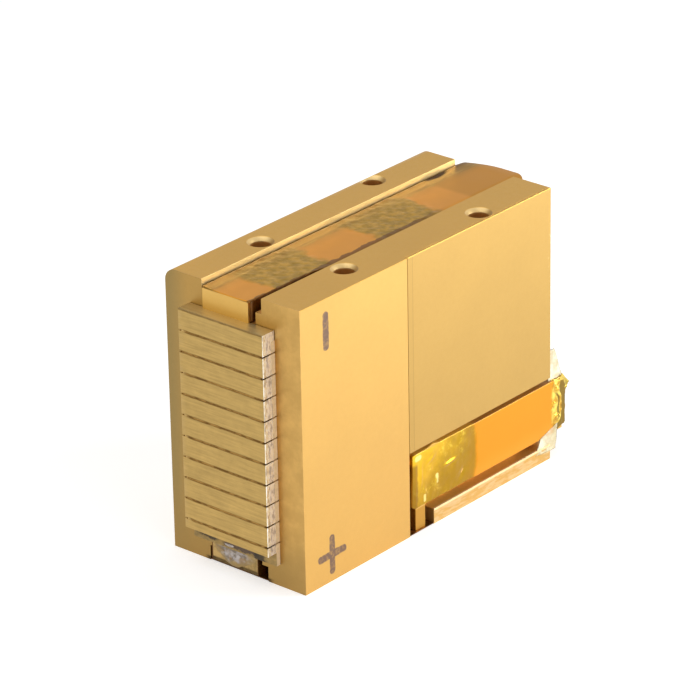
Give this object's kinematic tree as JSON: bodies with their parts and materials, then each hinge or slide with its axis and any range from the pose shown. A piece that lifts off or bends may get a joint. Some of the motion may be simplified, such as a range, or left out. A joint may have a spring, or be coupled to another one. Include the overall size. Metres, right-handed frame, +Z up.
{
  "type": "laser diode bar stack",
  "caption": "Gold-plated water-cooled block with a vertical stack of laser diode bars and ceramic-backed spacers on its front, and film-wrapped current straps along its top and side.",
  "frame": {"origin": "middle of the footprint, on the block's underside", "axes": "+X across the bars, +Y from the emitting front to the water ports, +Z up the stack"},
  "size_m": [0.017, 0.0428, 0.0299],
  "materials": {
    "gold_block": "satin gold plating on copper",
    "gold_cover": "satin gold plating on copper",
    "gold_strap": "gold plating on copper",
    "gold_spacer": "gold plating on copper-tungsten, fine ground",
    "polyimide_film": "glossy amber polyimide film",
    "laser_bar": "cleaved gallium arsenide",
    "insulator": "matt aluminium nitride",
    "solder": "dull tin solder",
    "seal_rubber": "matt black rubber"
  },
  "bodies": {
    "root": {"cooler_body": "gold_block", "side_cover": "gold_cover", "negative_strap": "gold_strap", "positive_strap": "gold_strap", "negative_strap_film": "polyimide_film", "positive_strap_film": "polyimide_film", "lower_channel_film": "polyimide_film", "solder_joint": "solder", "inlet_seal": "seal_rubber", "outlet_seal": "seal_rubber", "spacer_01": "gold_spacer", "spacer_02": "gold_spacer", "spacer_03": "gold_spacer", "spacer_04": "gold_spacer", "spacer_05": "gold_spacer", "spacer_06": "gold_spacer", "spacer_07": "gold_spacer", "spacer_08": "gold_spacer", "spacer_09": "gold_spacer", "spacer_10": "gold_spacer", "spacer_11": "gold_spacer", "laser_bar_01": "laser_bar", "laser_bar_02": "laser_bar", "laser_bar_03": "laser_bar", "laser_bar_04": "laser_bar", "laser_bar_05": "laser_bar", "laser_bar_06": "laser_bar", "laser_bar_07": "laser_bar", "laser_bar_08": "laser_bar", "laser_bar_09": "laser_bar", "laser_bar_10": "laser_bar", "ceramic_01": "insulator", "ceramic_02": "insulator", "ceramic_03": "insulator", "ceramic_04": "insulator", "ceramic_05": "insulator", "ceramic_06": "insulator", "ceramic_07": "insulator", "ceramic_08": "insulator", "ceramic_09": "insulator", "ceramic_10": "insulator", "ceramic_11": "insulator"}
  },
  "joints": []
}
